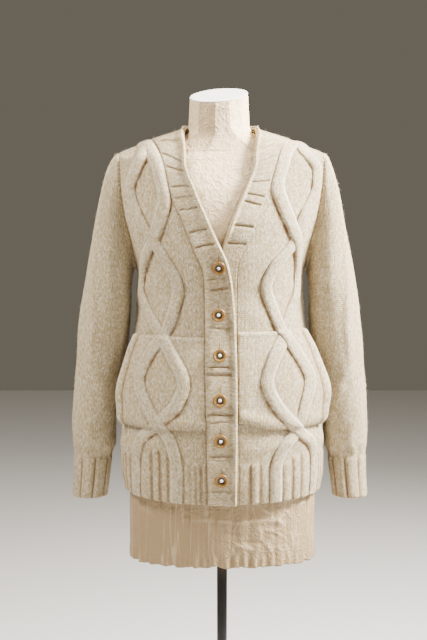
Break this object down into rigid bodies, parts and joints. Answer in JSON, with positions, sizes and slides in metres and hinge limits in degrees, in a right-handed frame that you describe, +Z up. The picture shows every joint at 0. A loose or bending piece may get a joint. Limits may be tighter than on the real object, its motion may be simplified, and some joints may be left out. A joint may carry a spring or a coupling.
{
  "type": "boyfriend cardigan on a dress form with pole stand",
  "caption": "Long-sleeved cream cable-knit wool cardigan with V neck, ribbed button band and patch pockets, worn on a limbless dress form on a pole stand.",
  "frame": {"origin": "bottom centre of the bounding box, on the floor under the dress form", "axes": "+Z up; the front of the cardigan faces -Y; the wearer's left is +X"},
  "size_m": [0.5708, 0.36, 1.3897],
  "materials": {
    "wool": "matte hand-knitted wool",
    "button": "satin turned wood",
    "paper": "matte crinkled tissue paper",
    "black": "satin black"
  },
  "bodies": {
    "root": {"back": "wool", "front_right": "wool", "front_left": "wool", "pocket_right": "wool", "pocket_left": "wool", "sleeve_right": "wool", "sleeve_left": "wool", "band_right": "wool", "band_left": "wool", "button_1": "button", "button_2": "button", "button_3": "button", "button_4": "button", "button_5": "button", "button_6": "button", "form_torso": "paper", "form_neck": "paper", "form_cap": "paper", "pole": "black", "base": "black"}
  },
  "joints": []
}
